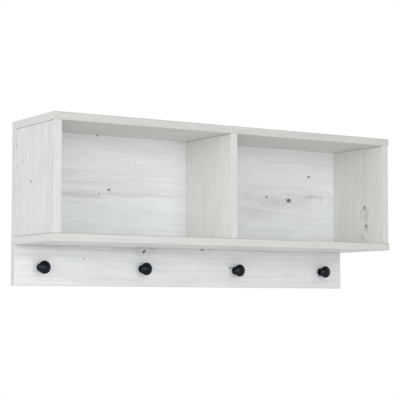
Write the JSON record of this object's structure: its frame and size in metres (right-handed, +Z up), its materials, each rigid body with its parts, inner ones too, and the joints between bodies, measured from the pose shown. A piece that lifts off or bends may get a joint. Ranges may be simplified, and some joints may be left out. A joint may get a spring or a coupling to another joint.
{
  "type": "wall hook rack",
  "caption": "Wall-hung shelf box with open compartments over a panel strip with round mushroom knobs for hanging clothes.",
  "frame": {"origin": "midway between the two keyholes' entries, on the wall plane, which is the back panel's rear face", "axes": "+X along the rack, to the right of someone facing it; +Y into the wall; +Z up"},
  "size_m": [0.8, 0.185, 0.32],
  "materials": {
    "decor_board": "melamine-faced particleboard with a whitewashed pine print, satin",
    "edge_band": "ABS edge banding with a whitewashed pine print, satin",
    "black_coated_zinc": "die-cast zinc, matte black powder coat",
    "zinc_plated_steel": "zinc-plated steel",
    "beech": "raw fluted beech",
    "plug_plastic": "moulded polyethylene"
  },
  "bodies": {
    "root": {"back_panel": "decor_board", "top_board": "decor_board", "bottom_board": "decor_board", "left_side_panel": "decor_board", "right_side_panel": "decor_board", "centre_divider": "decor_board", "back_panel_edging_top": "edge_band", "back_panel_edging_bottom": "edge_band", "back_panel_edging_left": "edge_band", "back_panel_edging_right": "edge_band", "top_board_edging_front": "edge_band", "top_board_edging_left": "edge_band", "top_board_edging_right": "edge_band", "bottom_board_edging_front": "edge_band", "bottom_board_edging_left": "edge_band", "bottom_board_edging_right": "edge_band", "left_side_edging": "edge_band", "right_side_edging": "edge_band", "divider_edging": "edge_band", "knob_1": "black_coated_zinc", "knob_2": "black_coated_zinc", "knob_3": "black_coated_zinc", "knob_4": "black_coated_zinc", "knob_screws": "zinc_plated_steel", "confirmat_screws": "zinc_plated_steel", "back_panel_screws": "zinc_plated_steel", "hanger_plate_left": "zinc_plated_steel", "hanger_plate_right": "zinc_plated_steel", "hanger_screws": "zinc_plated_steel", "dowels": "beech", "confirmat_plugs": "plug_plastic"}
  },
  "joints": []
}
